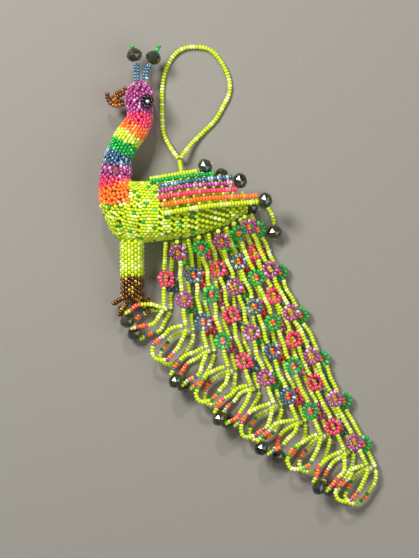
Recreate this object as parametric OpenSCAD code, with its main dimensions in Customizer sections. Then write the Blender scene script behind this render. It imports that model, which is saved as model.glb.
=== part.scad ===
// Beaded peacock ornament, strung and woven from seed beads, lying on its far flank.
// +X runs from the breast to the tail, +Y from the feet to the crest, +Z is up.
// The origin is under the middle of the object, on the surface that it lies on.

/* [Beads] */
// Diameter of one seed bead, and so of every strung row
bead_d = 1.7; // [1.5:0.1:2.1]
// Diameter of a cut crystal across its facets
crystal_d = 6.4; // [5:0.1:6.6]
// Length of a cut crystal along its hole
crystal_len = 4.9; // [3.6:0.1:5.2]
// Diameter of the hole through a cut crystal
crystal_bore = 1.0; // [0.8:0.1:1.4]
// Diameter of the beading thread
thread_d = 0.5; // [0.3:0.1:0.6]

/* [Body] */
// Half width of the head across the face
head_rx = 5.9; // [5:0.1:6.2]
// Half height of the head
head_ry = 6.1; // [5.4:0.1:6.6]
// Half thickness of the torso at its fullest
torso_half = 8.5; // [6.8:0.1:9]
// Height of the torso's middle above the surface
torso_z = 10.8; // [10.8:0.1:13]
// Thickness of the woven bead wall
wall = 1.7; // [1.4:0.1:2.1]
// Gap left between the wall and the stuffing
stuffing_gap = 0.2; // [0.1:0.05:0.5]

/* [Legs] */
// Half width of a leg tube
leg_rx = 4.3; // [3.5:0.1:4.6]
// Half thickness of a leg tube
leg_rz = 2.7; // [2.4:0.1:2.9]
// Diameter of a toe
toe_d = 1.9; // [1.5:0.1:2.1]

/* [Crest] */
// Diameter of a crest stalk
crest_d = 2.1; // [1.7:0.1:2.3]

/* [Tail] */
// Number of strands in each of the two curtains
strand_count = 10; // [6:1:10]
// Distance between two flowers on a strand
flower_pitch = 18.5; // [16:0.1:20]
// Radius of the ring through a flower's bead centres
flower_r = 2.5; // [2.3:0.1:2.6]
// How far the end loop hangs below its fork
hem_len = 17.2; // [14:0.1:18]
// How far the side of an end loop stands out past the end of its crystal
hem_bulge = 2.45; // [1.6:0.05:2.8]

/* [Fits] */
// Gap at each end of a turning crystal
spin_gap = 0.15; // [0.1:0.05:0.4]
// Gap between pieces that lie over each other
lay_gap = 0.1; // [0.05:0.05:0.3]

/* [Hidden] */

// Sides of a body section, and of a strung row
body_sides = 28;
row_sides = 8;
round_fn = 32;
bead_r = bead_d / 2;
// Height of the middle of a crystal that lies on the surface
crystal_z = crystal_d / 2 + 0.05;

lime = [0.78, 0.88, 0.12];
green = [0.24, 0.75, 0.35];
blue = [0.16, 0.38, 0.47];
purple = [0.65, 0.22, 0.51];
pink = [0.94, 0.31, 0.43];
orange = [0.98, 0.49, 0.18];
brown = [0.47, 0.27, 0.04];
black = [0.03, 0.03, 0.03];
silver = [0.8, 0.8, 0.8];
crystal_grey = [0.1, 0.12, 0.1];
// Flower colours, in the order they repeat along a curtain
cycle = [pink, purple, blue, green];

// ---- General shapes ----

function unit(v) = v / norm(v);
function mix(a, b, t) = a + (b - a) * t;
function across(dir) = [-dir.y, dir.x];
function heading(angle) = [cos(angle), sin(angle)];

// A point between knots i and i + 1 of a smooth curve through all the knots
function curve_point(p, i, t) = let (
        a = p[max(i - 1, 0)],
        b = p[i],
        c = p[i + 1],
        d = p[min(i + 2, len(p) - 1)])
    0.5 * (2 * b + (c - a) * t + (2 * a - 5 * b + 4 * c - d) * t * t
        + (3 * b - a - 3 * c + d) * t * t * t);
function smooth(p, steps) = [
    for (i = [0 : len(p) - 2]) for (k = [0 : steps - 1]) curve_point(p, i, k / steps),
    p[len(p) - 1]];

function tangent(p, i) = unit(p[min(i + 1, len(p) - 1)] - p[max(i - 1, 0)]);
function round_section(c, t, r, sides) = let (n = unit(cross(t, [0, 0, 1])), b = cross(n, t))
    [for (k = [0 : sides - 1]) c + r * (cos(360 * k / sides) * n + sin(360 * k / sides) * b)];

// Side faces between consecutive sections of n points, starting at point `first`
function side_faces(m, n, first, out) = [
    for (i = [0 : m - 2]) for (k = [0 : n - 1])
        let (a = first + i * n + k, b = first + i * n + (k + 1) % n)
        each out ? [[a, b, a + n], [b, b + n, a + n]] : [[a, a + n, b], [b, a + n, b + n]]];
function cap(first, n, out) = out ? [for (k = [0 : n - 1]) first + n - 1 - k]
    : [for (k = [0 : n - 1]) first + k];
// The flat rim between an outer and an inner section
function rim(outer, inner, n, out) = [
    for (k = [0 : n - 1]) let (j = (k + 1) % n)
        each out ? [[outer + j, outer + k, inner + k], [outer + j, inner + k, inner + j]]
            : [[outer + k, outer + j, inner + k], [outer + j, inner + j, inner + k]]];

// A solid through a list of sections
module loft(sections) {
    n = len(sections[0]);
    m = len(sections);
    polyhedron([for (s = sections) each s],
        concat([cap(0, n, true)], side_faces(m, n, 0, true), [cap((m - 1) * n, n, false)]));
}

// A hollow skin between outer and inner sections, open or closed at each end
module skin(outer, inner, open_first, open_last) {
    n = len(outer[0]);
    mo = len(outer);
    mi = len(inner);
    start = mo * n;
    polyhedron([for (s = concat(outer, inner)) each s],
        concat(
            side_faces(mo, n, 0, true),
            side_faces(mi, n, start, false),
            open_first ? rim(0, start, n, true) : [cap(0, n, true), cap(start, n, false)],
            open_last ? rim((mo - 1) * n, start + (mi - 1) * n, n, false)
                : [cap((mo - 1) * n, n, false), cap(start + (mi - 1) * n, n, true)]));
}

// A strung row of beads, as a plain tube along a path
module row(path, d = bead_d) {
    loft([for (i = [0 : len(path) - 1])
        round_section(path[i], tangent(path, i), d / 2, row_sides)]);
}

// A straight run from p to q
module run(p, q, d) {
    v = q - p;
    translate(p)
        rotate([0, acos(v.z / norm(v)), atan2(v.y, v.x)])
            cylinder(h = norm(v), d = d, $fn = round_fn);
}

// A cut crystal with its hole along X
module crystal() {
    facets = 10;
    levels = [[-0.5, 0.48], [-0.27, 0.85], [0, 1], [0.27, 0.85], [0.5, 0.48]];
    rotate([0, 90, 0])
        difference() {
            loft([for (i = [0 : len(levels) - 1]) [for (k = [0 : facets - 1])
                let (a = 360 * (k + i / 2) / facets, r = levels[i][1] * crystal_d / 2)
                [r * cos(a), r * sin(a), levels[i][0] * crystal_len]]]);
            cylinder(h = crystal_len * 2, d = crystal_bore, center = true, $fn = round_fn);
        }
}

module placed_crystal(centre, angle) {
    color(crystal_grey) translate(centre) rotate([0, 0, angle]) crystal();
}

// ---- Body: sections are [upper or right point, lower or left point, middle z, half depth] ----

head_c = [-38.3, 68.1];
// The head sits a little lower than the torso, resting on its far eye
head_z = torso_z - 2.7;
neck_low = 36;
neck_high = 61.8;
function neck_z(y) = lookup(y, [[neck_low, torso_z], [neck_high, head_z]]);

// Centre and width of the neck, from the head down: bands meet at the even ones
neck_knots = [[-38.2, 61.8, 10.2], [-38.4, 59.4, 10.4], [-39.4, 57.5, 10.7],
    [-40.5, 55.8, 11], [-41.7, 54.2, 11], [-42.9, 52.7, 11], [-43.8, 51, 11],
    [-44.6, 49.2, 11], [-45.8, 47.1, 10.9], [-46.7, 45, 10.8], [-47, 42.3, 11.6],
    [-47.2, 39.6, 12.6], [-47.7, 37.3, 12.3]];
function neck_place(i) = i < len(neck_knots) ? [neck_knots[i].x, neck_knots[i].y]
    : (torso_knots[0][0] + torso_knots[0][1]) / 2;
function neck_station(i) = let (
        c = neck_place(i),
        dir = unit(neck_place(i + 1) - neck_place(i < len(neck_knots) - 1 ? max(i - 1, 0) : i)),
        half = neck_knots[i].z / 2)
    [c + half * across(dir), c - half * across(dir), neck_z(c.y), half];

head_first = 8;
head_last = 116;
head_station_count = 9;
function head_station(i) = let (
        a = mix(head_first, head_last, i / (head_station_count - 1)),
        half = head_rx * sin(a),
        y = head_c.y + head_ry * cos(a))
    [[head_c.x + half, y], [head_c.x - half, y], head_z, half];
head_stations = concat([for (i = [0 : head_station_count - 1]) head_station(i)],
    [neck_station(0)]);

// Back line point, belly line point and depth as a share of the fullest
torso_knots = [[[-41.4, 36.3], [-54, 33], 0.84], [[-41, 36], [-53.9, 26.6], 0.9],
    [[-40.4, 35.9], [-51.6, 21.8], 0.95], [[-39.6, 35.9], [-49.6, 17.4], 0.98],
    [[-38.2, 36], [-47.2, 13.8], 1], [[-36.5, 36.1], [-43, 12.4], 1],
    [[-34.4, 36.1], [-36.5, 12.4], 1], [[-27.5, 35.4], [-27.5, 13.4], 1],
    [[-20.6, 34.6], [-20.6, 14.2], 0.92], [[-13.3, 33.5], [-13.3, 16.1], 0.78],
    [[-4.4, 31.9], [-4.4, 19.3], 0.58], [[0.5, 30], [0.5, 22.6], 0.38],
    [[3.3, 28.8], [3.3, 24.2], 0.24]];
torso_stations = [for (k = torso_knots) [k[0], k[1], torso_z, k[2] * torso_half]];
chest_end = 2;
belly_line = [for (i = [5 : len(torso_knots) - 1]) torso_knots[i][1]];
function belly_y(x) = lookup(x, belly_line);

// One body section, drawn in by the given amount
function body_section(s, inset) = let (
        c = (s[0] + s[1]) / 2,
        u = unit(s[1] - s[0]),
        a = norm(s[1] - s[0]) / 2 - inset,
        b = s[3] - inset)
    [for (k = [0 : body_sides - 1]) let (t = -360 * k / body_sides)
        [c.x + a * cos(t) * u.x, c.y + a * cos(t) * u.y, s[2] + b * sin(t)]];
function body_sections(stations, inset) = [for (s = stations) body_section(s, inset)];
// Stations that stay open when drawn in by the given amount
min_core = 0.5;
function roomy(stations, inset) = [for (s = stations)
    if (min(norm(s[1] - s[0]) / 2, s[3]) > inset + min_core) s];

module head_skin() {
    color(purple)
        skin(body_sections(head_stations, 0),
            body_sections(roomy(head_stations, wall), wall), false, true);
}

// Band i of the neck, between two even knots
module neck_band(i) {
    stations = [for (k = [0 : 2]) neck_station(2 * i + k)];
    skin(body_sections(stations, 0), body_sections(stations, wall), true, true);
}
module neck_pink() { color(pink) neck_band(0); }
module neck_orange() { color(orange) neck_band(1); }
module neck_lime() { color(lime) neck_band(2); }
module neck_green() { color(green) neck_band(3); }
module neck_blue() { color(blue) neck_band(4); }
module neck_purple() { color(purple) neck_band(5); }

module neck_rose() {
    stations = [neck_station(len(neck_knots) - 1), torso_stations[0]];
    color(pink) skin(body_sections(stations, 0), body_sections(stations, wall), true, true);
}

module chest_orange() {
    stations = [for (i = [0 : chest_end]) torso_stations[i]];
    color(orange) skin(body_sections(stations, 0), body_sections(stations, wall), true, true);
}

module torso_skin() {
    stations = [for (i = [chest_end : len(torso_stations) - 1]) torso_stations[i]];
    color(lime)
        skin(body_sections(stations, 0),
            body_sections(roomy(stations, wall), wall), true, false);
}

// Fibre filling, in one piece from the head to the tail
module stuffing() {
    inset = wall + stuffing_gap;
    stations = concat(head_stations,
        [for (i = [1 : len(neck_knots) - 1]) neck_station(i)], torso_stations);
    color("ivory") loft(body_sections(roomy(stations, inset), inset));
}

// ---- Face ----

eye_tilt = 30;
eye_turn = -30;
eye_ring_r = 2;
eye_bead_d = 1.7;
pupil_d = 2;
eye_gap = 0.45;
// Height of the ring's plane over the head's middle, so that its beads just clear the skin
eye_rise = head_rx * sqrt(1 - pow(eye_ring_r / max(head_rx, head_ry), 2)) + eye_bead_d / 2 + eye_gap;
pupil_len = 1.8;

// Places a child on the near or the far side of the head
module at_eye(side) {
    translate([head_c.x, head_c.y, head_z])
        mirror([0, 0, side > 0 ? 0 : 1])
            rotate([0, eye_tilt, eye_turn])
                children();
}
module eye_rings() {
    color(black)
        for (side = [-1, 1])
            at_eye(side)
                translate([0, 0, eye_rise])
                    rotate_extrude($fn = round_fn)
                        translate([eye_ring_r, 0]) circle(d = eye_bead_d, $fn = round_fn);
}
module eye_pupils() {
    color(silver)
        for (side = [-1, 1])
            at_eye(side)
                translate([0, 0, head_rx + eye_gap])
                    cylinder(h = pupil_len, d = pupil_d, $fn = round_fn);
}

beak_d = 2;
function face_path(points) = smooth([for (p = points) [p.x, p.y, head_z]], 3);
module beak_upper() {
    color(brown) row(face_path([[-44.2, 71.7], [-46.4, 70.2], [-48.4, 68.7]]), beak_d);
}
module beak_lower() {
    color(brown)
        row(face_path([[-45.2, 65.8], [-47.2, 65.1], [-49.3, 65.9], [-50.6, 68], [-50.8, 70.2]]),
            beak_d);
}

// ---- Crest ----

// Stalk knots up to the crystal, for the left and the right stalk
crest_knots = [[[-39.4, 75.2], [-39.4, 78.2]], [[-36.1, 75.2], [-36.1, 77.8]]];
crest_crystals = [[-40.4, 84.6], [-33.1, 83.6]];
crest_angles = [104, 63];
crest_tip_beads = [1, 2];
crest_bead_len = 1.5;
// Bare thread between a stalk and its crystal
crest_slack = 0.8;

function crest_point(i, along) = let (p = crest_crystals[i], d = heading(crest_angles[i]))
    [p.x + along * d.x, p.y + along * d.y, head_z];
module crest_stalk(i) {
    seat = crystal_len / 2 + spin_gap;
    tip = seat + crest_tip_beads[i] * crest_bead_len;
    knots = [for (p = crest_knots[i]) [p.x, p.y, head_z]];
    shoulder = seat + crest_slack;
    color(blue) row(smooth(concat(knots, [crest_point(i, -shoulder)]), 2), crest_d);
    color(silver) run(crest_point(i, -shoulder), crest_point(i, seat), thread_d);
    color(green) run(crest_point(i, seat), crest_point(i, tip), crest_d);
}
module crest_crystal(i) {
    placed_crystal(crest_point(i, 0), crest_angles[i]);
}
module left_crest_stalk() { crest_stalk(0); }
module left_crest_crystal() { crest_crystal(0); }
module right_crest_stalk() { crest_stalk(1); }
module right_crest_crystal() { crest_crystal(1); }

// ---- Legs and toes ----

// X of each leg, and its z at the hip and at the foot
near_leg = [-41.6, torso_z + 2.1, 8.3];
far_leg = [-40.9, torso_z - 4.1, 2.8];
hip_y = 11.9;
knee_y = 0;
foot_y = -7.3;
leg_wall = 2;

function leg_station(leg, y) = let (z = mix(leg[2], leg[1], (y - foot_y) / (hip_y - foot_y)))
    [[leg.x + leg_rx, y], [leg.x - leg_rx, y], z, leg_rz];
module leg_tube(leg, from, to) {
    stations = [leg_station(leg, from), leg_station(leg, to)];
    skin(body_sections(stations, 0), body_sections(stations, leg_wall), true, true);
}
module near_leg_skin() { color(lime) leg_tube(near_leg, hip_y, knee_y); }
module near_shank() { color(brown) leg_tube(near_leg, knee_y, foot_y); }
module far_leg_skin() { color(lime) leg_tube(far_leg, hip_y, knee_y); }
module far_shank() { color(brown) leg_tube(far_leg, knee_y, foot_y); }

// Toe knots relative to the leg's middle line
toe_knots = [[[-2.8, -8.4], [-4.6, -9.4], [-7.5, -11.2]],
    [[-0.9, -8.4], [-2.8, -11.5], [-5.1, -15.8]],
    [[1.1, -8.4], [4, -11.2], [6.4, -14.8]],
    [[3, -8.4], [5.8, -9.6], [10, -12.9]]];
module toes(leg, low) {
    levels = [leg[2], mix(low, leg[2], 0.12), low];
    color(brown)
        for (toe = toe_knots)
            row(smooth([for (k = [0 : 2]) [leg.x + toe[k].x, toe[k].y, levels[k]]], 3), toe_d);
}
// The far toes clear the back curtain, and the near toes clear the far ones
far_toe_z = bead_d + 2 * lay_gap + toe_d / 2;
near_toe_z = far_toe_z + toe_d + 4 * lay_gap;
module near_toes() { toes(near_leg, near_toe_z); }
module far_toes() { toes(far_leg, far_toe_z); }

// ---- Hanging loop ----

lying_z = bead_r + 0.05;
stem_route = [[-22.2, 36.6, 9.2], [-22.4, 40.1, 7.6], [-23, 43.6, 5.4]];
// The loop's route by hand, from the fork and back to it, with its rise over lying beads
loop_route = [[-24.4, 46.2, 3.3], [-26.9, 49.9, 1.3], [-29.3, 55, 0.1], [-29.8, 60.9, 0],
    [-29.9, 66.8, 0], [-29.7, 73.8, 0], [-28.1, 80.5, 0], [-24.9, 85.6, 0], [-21, 88, 0],
    [-16.3, 88.4, 0], [-12, 87.6, 0], [-8.5, 84.8, 0], [-5.3, 79.7, 0], [-3.7, 74.6, 0],
    [-3.9, 70.2, 0], [-6.1, 65.6, 0], [-9.2, 60.2, 0], [-14.3, 55, 0.1], [-18.3, 51, 1.3],
    [-21.6, 46.6, 3.3]];
module loop_stem() { color(lime) row(smooth(stem_route, 2)); }
module hanging_loop() {
    color(lime) row(smooth([for (p = loop_route) [p.x, p.y, lying_z + p.z]], 2));
}

// ---- Wings ----

// Knots of the near wing's rows, from the shoulder to the tip
near_rows = [
    [[-34.4, 36.7, 13.2], [-25, 38.3, 12.6], [-16.28, 39.88, 10.66]],
    [[-34.4, 35.6, 15.4], [-24, 37.2, 14], [-15.6, 38.1, 12.9], [-9.4, 38.9, 12.4]],
    [[-31, 33.7, 17.4], [-18, 36, 15.2], [-2.9, 37.6, 12.8]],
    [[-31, 31.7, 18.7], [-17, 34.1, 16.6], [-2.7, 35.3, 13.4]],
    [[-31, 29.4, 19.9], [-16, 31.6, 17.8], [-1, 32.8, 14.2]],
    [[-29.8, 26.6, 20.9], [-13, 29.1, 18.8], [6.9, 30.3, 13.6]],
    [[-29.8, 23.2, 21], [-12, 26.2, 19.1], [7, 27.9, 13.8]]];
near_row_colors = [lime, green, blue, purple, pink, orange, lime];
function beside(place, angle, along) = [place.x + along * cos(angle),
    place.y + along * sin(angle), place.z];
// The row that each wing crystal is threaded on, the crystal's inner end and its heading
near_crystal_rows = [0, 3, 6];
near_crystal_ends = [[-15.45, 40.76, 10.16], [-2.18, 35.51, 13.4], [7.39, 28.17, 13.8]];
near_crystal_headings = [22, 14, 10];
near_crystal_places = [for (k = [0 : len(near_crystal_ends) - 1])
    beside(near_crystal_ends[k], near_crystal_headings[k], crystal_len / 2)];
knot_len = 0.8;
// The thread that a wing crystal turns on, with its end knot
module wing_thread(place, angle) {
    seat = crystal_len / 2 + spin_gap;
    color(lime) {
        run(beside(place, angle, -seat), beside(place, angle, seat + knot_len / 2), thread_d);
        run(beside(place, angle, seat), beside(place, angle, seat + knot_len), crystal_bore * 1.5);
    }
}
module near_wing_row(i) {
    color(near_row_colors[i]) row(smooth(near_rows[i], 4));
    for (k = [0 : len(near_crystal_rows) - 1])
        if (near_crystal_rows[k] == i)
            wing_thread(near_crystal_places[k], near_crystal_headings[k]);
}
module near_wing_row_1() { near_wing_row(0); }
module near_wing_row_2() { near_wing_row(1); }
module near_wing_row_3() { near_wing_row(2); }
module near_wing_row_4() { near_wing_row(3); }
module near_wing_row_5() { near_wing_row(4); }
module near_wing_row_6() { near_wing_row(5); }
module near_wing_row_7() { near_wing_row(6); }
module near_wing_crystal(i) { placed_crystal(near_crystal_places[i], near_crystal_headings[i]); }
module near_wing_crystal_1() { near_wing_crystal(0); }
module near_wing_crystal_2() { near_wing_crystal(1); }
module near_wing_crystal_3() { near_wing_crystal(2); }

// The far wing lies flat under the torso
far_rows = [
    [[-33, 34.8], [-22, 36.6], [-10, 37.4]],
    [[-33, 32.5], [-20, 34.2], [-6.6, 34.9]],
    [[-33, 30.2], [-18, 31.8], [-4, 32.4]],
    [[-33, 27.9], [-17, 29.4], [-1, 29.8]],
    [[-33, 25.6], [-16, 27], [1.4, 27.2]],
    [[-33, 23.3], [-16, 24.6], [0, 24.8]],
    [[-33, 21], [-17, 22.2], [-6, 22.3]]];
far_tip_route = [[6, 29.4], [10.6, 26.6], [13, 22.6], [13.4, 19.6]];
far_crystal_ends = [[-9.18, 37.81, crystal_z], [2.5, 27.04, crystal_z], [13.43, 19.04, crystal_z]];
far_crystal_headings = [14, -20, -86];
far_crystal_places = [for (k = [0 : len(far_crystal_ends) - 1])
    beside(far_crystal_ends[k], far_crystal_headings[k], crystal_len / 2)];
function lying(points) = [for (p = points) [p.x, p.y, lying_z]];
module far_wing_rows() {
    for (i = [0 : len(far_rows) - 1])
        color(near_row_colors[i]) row(smooth(lying(far_rows[i]), 3));
    color(lime) row(smooth(lying(far_tip_route), 3));
    for (i = [0 : len(far_crystal_places) - 1])
        wing_thread(far_crystal_places[i], far_crystal_headings[i]);
}
module far_wing_crystal(i) { placed_crystal(far_crystal_places[i], far_crystal_headings[i]); }
module far_wing_crystal_1() { far_wing_crystal(0); }
module far_wing_crystal_2() { far_wing_crystal(1); }
module far_wing_crystal_3() { far_wing_crystal(2); }

// ---- Tail curtains: curtain 0 is the back one, curtain 1 the front one ----

last_strand = strand_count - 1;
root_start = -28.3;
root_span = 30;
root_gap = 0.7;
first_flower = [13.9, 4.3];
back_shift = 2.6;
back_drop = 2.2;
fork_drop = 10;
drop_run = 13;
root_step = 3.5;
layer_step = bead_d + 2 * lay_gap;
// How deep the front crystals sink between the back ones, which lie on the surface
crystal_nest = 1.35;
// How high the crystals ride over their own strands
tip_lift = [crystal_z - lying_z, crystal_z + crystal_d - crystal_nest - layer_z(1, 0)];
tip_lift_power = [4, 0.3];
end_gap = 1.3;
// Half of an end loop's width
hem_half = crystal_len / 2 + hem_bulge;
// Diameter of the pair of beads in a flower's middle
centre_d = 1.7;
end_headings = [[214, 226, 227, 229, 226, 229, 232, 234, 238, 233],
    [199, 226, 227, 229, 226, 227, 217, 227, 235, 231]];
// How much shorter the end loop nearest the feet is, and how much lower it forks
first_short = [0.6, 2.6];
first_drop = [0, 1.6];
// How far the front one rides up over the near toes, and how soon
toe_lift = near_toe_z + toe_d / 2 + bead_r + 9 * lay_gap - layer_z(1, 0);
toe_lift_power = 0.1;
teardrop = 0.6;
teardrop_start = 30;
end_rings = 9;

function share(i) = i / last_strand;
function odd(i) = i % 2;
function layer(c, i) = 2 * c + odd(i);
function root(c, i) = let (x = root_start + root_span * (1 - pow(1 - share(i), 1.35))
        + (1 - c) * back_shift)
    [x, belly_y(x) - root_gap];
function strand_angle(i) = -2 + 28.3 * pow(share(i), 0.6);
function strand_dir(i) = [sin(strand_angle(i)), -cos(strand_angle(i))];
function layer_z(c, i) = lying_z + layer(c, i) * layer_step;
function root_z(c, i) = torso_z + (layer(c, i) - 1.5) * root_step;
function flower_total(i) = floor((i + 1) / 2) + 1;
function flower_at(c, i, j) = first_flower[odd(i)] + (1 - c) * back_drop + j * flower_pitch;
function fork_at(c, i) = flower_at(c, i, flower_total(i) - 1) + fork_drop
    + (i == 0 ? first_drop[c] : 0);
// How far a strand has come down the slope beside the belly, from 0 to 1
function fall(c, i, s) = let (p = root(c, i) + s * strand_dir(i))
    min(1, (belly_y(p.x) - p.y) / drop_run);
function strand_point(c, i, s) = let (p = root(c, i) + s * strand_dir(i))
    [p.x, p.y, mix(root_z(c, i), layer_z(c, i), fall(c, i, s))];
// Where the slope ends along a strand, closed in on by a few steps
function knee(c, i, s = 10, steps = 8) = steps == 0 ? s
    : knee(c, i, s + drop_run - (belly_y((root(c, i) + s * strand_dir(i)).x)
        - (root(c, i) + s * strand_dir(i)).y), steps - 1);
flower_half = flower_r + bead_r;
// A flower leans with the slope that it lies on
function flower_tilt(c, i, s) = let (
        a = strand_point(c, i, s - flower_r),
        b = strand_point(c, i, s + flower_r))
    atan2(a.z - b.z, norm([b.x - a.x, b.y - a.y]));

// Where the beads of strand i start and stop, between its flowers and at its bend
function strand_stops(c, i) = let (n = flower_total(i), h = flower_half + lay_gap)
    concat([[0, flower_at(c, i, 0) - h]],
        [for (j = [1 : 1 : n - 1]) [flower_at(c, i, j - 1) + h, flower_at(c, i, j) - h]],
        [[flower_at(c, i, n - 1) + h, fork_at(c, i) - end_gap]]);
module strand(c, i) {
    for (stop = strand_stops(c, i))
        if (stop[1] > stop[0])
            if (stop[0] < knee(c, i) && stop[1] > knee(c, i))
                row([for (s = [stop[0], knee(c, i), stop[1]]) strand_point(c, i, s)]);
            else
                run(strand_point(c, i, stop[0]), strand_point(c, i, stop[1]), bead_d);
}
module strands(c) {
    color(lime) for (i = [0 : last_strand]) strand(c, i);
}
// The back curtain's colours run two places ahead of the front one's
function flower_color(c, i) = cycle[(i + 2 * (1 - c)) % len(cycle)];
module flower_rings(c) {
    for (i = [0 : last_strand])
        for (j = [0 : flower_total(i) - 1])
            color(flower_color(c, i))
                translate(strand_point(c, i, flower_at(c, i, j)))
                    rotate([flower_tilt(c, i, flower_at(c, i, j)), 0, strand_angle(i)])
                        rotate_extrude($fn = round_fn)
                            translate([flower_r, 0]) circle(d = bead_d, $fn = round_fn);
}
module flower_centres(c) {
    half = sqrt(pow(flower_r - bead_r - lay_gap, 2) - pow(centre_d / 2, 2));
    color(orange)
        for (i = [0 : last_strand])
            for (j = [0 : flower_total(i) - 1])
                let (s = flower_at(c, i, j), middle = strand_point(c, i, s), tilt = flower_tilt(c, i, s))
                translate(middle)
                    rotate([tilt - 90, 0, strand_angle(i)])
                        cylinder(h = 2 * half, d = centre_d, center = true, $fn = round_fn);
}

// A point of an end loop, u along its heading and v across it
function end_len(c, i) = i == 0 ? hem_len - first_short[c] : hem_len;
function over_toes(c, i) = c == 1 && i == 0;
function end_lift(c, i, u) = let (
        height = over_toes(c, i) ? toe_lift : tip_lift[c],
        power = over_toes(c, i) ? toe_lift_power : tip_lift_power[c])
    odd(i) ? 0 : height * pow(min(1, max(0, u) / end_len(c, i)), power);
function end_point(c, i, u, v) = let (
        f = strand_point(c, i, fork_at(c, i)),
        d = heading(end_headings[c][i]))
    [f.x + u * d.x - v * d.y, f.y + u * d.y + v * d.x, f.z + end_lift(c, i, u)];
function teardrop_point(c, i, t) = end_point(c, i, end_len(c, i) * (1 - cos(t)) / 2,
    hem_half * sin(t) * pow(abs(sin(t / 2)), teardrop));
// Where the thread leaves a hem crystal
seat_v = crystal_len / 2 + spin_gap + 1;
module half_loop(c, i, side) {
    last_t = 128;
    row(concat(
        [for (k = [0 : end_rings - 2])
            teardrop_point(c, i, side * mix(teardrop_start, last_t, k / (end_rings - 2)))],
        [end_point(c, i, end_len(c, i), side * seat_v)]));
}
module end_loops(c) {
    color(lime)
        for (i = [0 : last_strand])
            if (odd(i))
                row([for (k = [0 : 2 * end_rings - 2])
                    teardrop_point(c, i, mix(teardrop_start, 360 - teardrop_start,
                        k / (2 * end_rings - 2)))]);
            else {
                half_loop(c, i, 1);
                half_loop(c, i, -1);
                run(end_point(c, i, end_len(c, i), seat_v - lay_gap / 2),
                    end_point(c, i, end_len(c, i), lay_gap / 2 - seat_v), thread_d);
            }
}
module tail_crystal(c, k) {
    placed_crystal(end_point(c, 2 * k, end_len(c, 2 * k), 0), end_headings[c][2 * k] + 90);
}

module front_strands() { strands(1); }
module front_flower_rings() { flower_rings(1); }
module front_flower_centres() { flower_centres(1); }
module front_end_loops() { end_loops(1); }
module front_crystal_1() { tail_crystal(1, 0); }
module front_crystal_2() { tail_crystal(1, 1); }
module front_crystal_3() { tail_crystal(1, 2); }
module front_crystal_4() { tail_crystal(1, 3); }
module front_crystal_5() { tail_crystal(1, 4); }
module back_strands() { strands(0); }
module back_flower_rings() { flower_rings(0); }
module back_flower_centres() { flower_centres(0); }
module back_end_loops() { end_loops(0); }
module back_crystal_1() { tail_crystal(0, 0); }
module back_crystal_2() { tail_crystal(0, 1); }
module back_crystal_3() { tail_crystal(0, 2); }
module back_crystal_4() { tail_crystal(0, 3); }
module back_crystal_5() { tail_crystal(0, 4); }

head_skin();
neck_pink();
neck_orange();
neck_lime();
neck_green();
neck_blue();
neck_purple();
neck_rose();
chest_orange();
torso_skin();
stuffing();
eye_rings();
eye_pupils();
beak_upper();
beak_lower();
near_leg_skin();
near_shank();
near_toes();
far_leg_skin();
far_shank();
far_toes();
loop_stem();
hanging_loop();
left_crest_stalk();
left_crest_crystal();
right_crest_stalk();
right_crest_crystal();
near_wing_row_1();
near_wing_row_2();
near_wing_row_3();
near_wing_row_4();
near_wing_row_5();
near_wing_row_6();
near_wing_row_7();
near_wing_crystal_1();
near_wing_crystal_2();
near_wing_crystal_3();
far_wing_rows();
far_wing_crystal_1();
far_wing_crystal_2();
far_wing_crystal_3();
front_strands();
front_flower_rings();
front_flower_centres();
front_end_loops();
front_crystal_1();
front_crystal_2();
front_crystal_3();
front_crystal_4();
front_crystal_5();
back_strands();
back_flower_rings();
back_flower_centres();
back_end_loops();
back_crystal_1();
back_crystal_2();
back_crystal_3();
back_crystal_4();
back_crystal_5();
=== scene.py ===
"""Beaded peacock ornament: every bead, crystal and thread, built around the fixed frame."""

import logging
import math
import random
from dataclasses import dataclass, field
from enum import Enum
from typing import Callable, Iterable, Sequence

import bmesh
import bpy
from mathutils import Matrix, Vector


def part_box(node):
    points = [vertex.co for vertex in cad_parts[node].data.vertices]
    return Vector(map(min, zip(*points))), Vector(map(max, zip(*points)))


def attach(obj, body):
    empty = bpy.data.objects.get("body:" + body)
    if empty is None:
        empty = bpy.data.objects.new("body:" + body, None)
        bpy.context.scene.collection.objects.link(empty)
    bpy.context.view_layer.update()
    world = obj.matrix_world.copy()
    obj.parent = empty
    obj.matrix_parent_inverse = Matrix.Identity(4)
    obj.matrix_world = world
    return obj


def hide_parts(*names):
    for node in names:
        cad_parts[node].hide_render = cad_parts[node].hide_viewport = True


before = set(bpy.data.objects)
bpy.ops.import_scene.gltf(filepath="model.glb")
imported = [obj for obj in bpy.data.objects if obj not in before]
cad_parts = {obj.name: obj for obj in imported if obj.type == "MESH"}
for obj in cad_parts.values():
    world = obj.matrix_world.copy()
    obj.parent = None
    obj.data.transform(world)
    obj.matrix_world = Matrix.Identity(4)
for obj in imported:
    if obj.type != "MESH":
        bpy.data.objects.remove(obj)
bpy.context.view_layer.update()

LOG = logging.getLogger("peacock")
MM = 0.001
SEED = 11

# A bead's place is the matrix that puts the seed bead there
Place = Matrix
Colour = tuple[float, float, float, float]


# ---- Shader writing ----


def darker(colour: Colour, share: float) -> Colour:
    """Gives a share of a colour's brightness."""
    return (*(c * share for c in colour[:3]), 1.0)


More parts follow.
